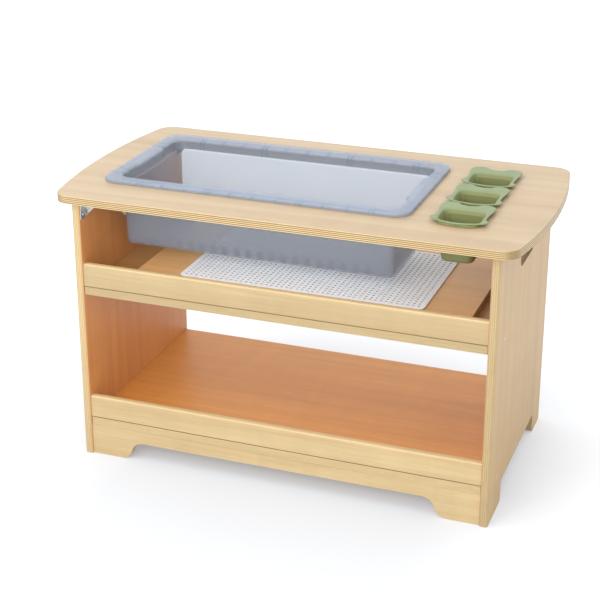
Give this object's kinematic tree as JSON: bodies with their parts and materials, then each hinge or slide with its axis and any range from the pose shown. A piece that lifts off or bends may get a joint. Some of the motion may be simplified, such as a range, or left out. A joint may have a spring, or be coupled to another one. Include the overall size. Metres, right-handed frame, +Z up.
{
  "type": "sand and water table",
  "caption": "Preschool sand and water table: plywood stand with lipped shelves, a clear lift-out tub, green lift-out cups, and a cover board with a perforated mat.",
  "frame": {"origin": "on the floor, under the middle of the tabletop's outline", "axes": "+X along the table's length towards the cups, +Y towards the open back, +Z up; the shelf lips face -Y"},
  "size_m": [1.054, 0.562, 0.6315],
  "materials": {
    "birch_plywood": "clear satin lacquer over pale birch veneer, with striped plies at the cut edges",
    "wood_plug": "end-grain birch plugs sanded flush under satin lacquer",
    "tub_plastic": "translucent blue-grey moulded plastic, glossy with a faint moulding texture",
    "cup_plastic": "opaque sage green moulded plastic with a fine satin texture",
    "mat_plastic": "flexible white perforated plastic sheet",
    "zinc_plated_steel": "bright zinc plating on pressed and turned steel"
  },
  "bodies": {
    "stand": {"tabletop": "birch_plywood", "side_panel_left": "birch_plywood", "side_panel_right": "birch_plywood", "middle_shelf": "birch_plywood", "bottom_shelf": "birch_plywood", "middle_shelf_lip": "birch_plywood", "bottom_shelf_lip": "birch_plywood", "front_kick_panel": "birch_plywood", "rear_kick_panel": "birch_plywood", "bracket_front_left": "zinc_plated_steel", "bracket_front_right": "zinc_plated_steel", "bracket_rear_left": "zinc_plated_steel", "bracket_rear_right": "zinc_plated_steel", "panel_screw_front_left": "zinc_plated_steel", "panel_screw_front_right": "zinc_plated_steel", "panel_screw_rear_left": "zinc_plated_steel", "panel_screw_rear_right": "zinc_plated_steel", "top_screw_front_left": "zinc_plated_steel", "top_screw_front_right": "zinc_plated_steel", "top_screw_rear_left": "zinc_plated_steel", "top_screw_rear_right": "zinc_plated_steel", "shelf_screw_middle_left_front": "zinc_plated_steel", "shelf_screw_middle_left_rear": "zinc_plated_steel", "shelf_screw_bottom_left_front": "zinc_plated_steel", "shelf_screw_bottom_left_rear": "zinc_plated_steel", "shelf_screw_middle_right_front": "zinc_plated_steel", "shelf_screw_middle_right_rear": "zinc_plated_steel", "shelf_screw_bottom_right_front": "zinc_plated_steel", "shelf_screw_bottom_right_rear": "zinc_plated_steel", "screw_plug_middle_left_front": "wood_plug", "screw_plug_middle_left_rear": "wood_plug", "screw_plug_bottom_left_front": "wood_plug", "screw_plug_bottom_left_rear": "wood_plug", "screw_plug_middle_right_front": "wood_plug", "screw_plug_middle_right_rear": "wood_plug", "screw_plug_bottom_right_front": "wood_plug", "screw_plug_bottom_right_rear": "wood_plug"},
    "tub": {"tub": "tub_plastic"},
    "cup_front": {"cup_front": "cup_plastic"},
    "cup_middle": {"cup_middle": "cup_plastic"},
    "cup_rear": {"cup_rear": "cup_plastic"},
    "cover_board": {"cover_board": "birch_plywood"},
    "mat": {"mat": "mat_plastic"}
  },
  "joints": [
    {"name": "tub_lift", "type": "slide", "parent": "stand", "child": "tub", "axis": [0, 0, 1], "range_m": [0, 0.17]},
    {"name": "cup_front_lift", "type": "slide", "parent": "stand", "child": "cup_front", "axis": [0, 0, 1], "range_m": [0, 0.1]},
    {"name": "cup_middle_lift", "type": "slide", "parent": "stand", "child": "cup_middle", "axis": [0, 0, 1], "range_m": [0, 0.1]},
    {"name": "cup_rear_lift", "type": "slide", "parent": "stand", "child": "cup_rear", "axis": [0, 0, 1], "range_m": [0, 0.1]},
    {"name": "cover_board_slide", "type": "slide", "parent": "stand", "child": "cover_board", "axis": [0, 1, 0], "range_m": [0, 0.5]},
    {"name": "mat_slide", "type": "slide", "parent": "cover_board", "child": "mat", "axis": [0, 1, 0], "range_m": [0, 0.36]}
  ]
}
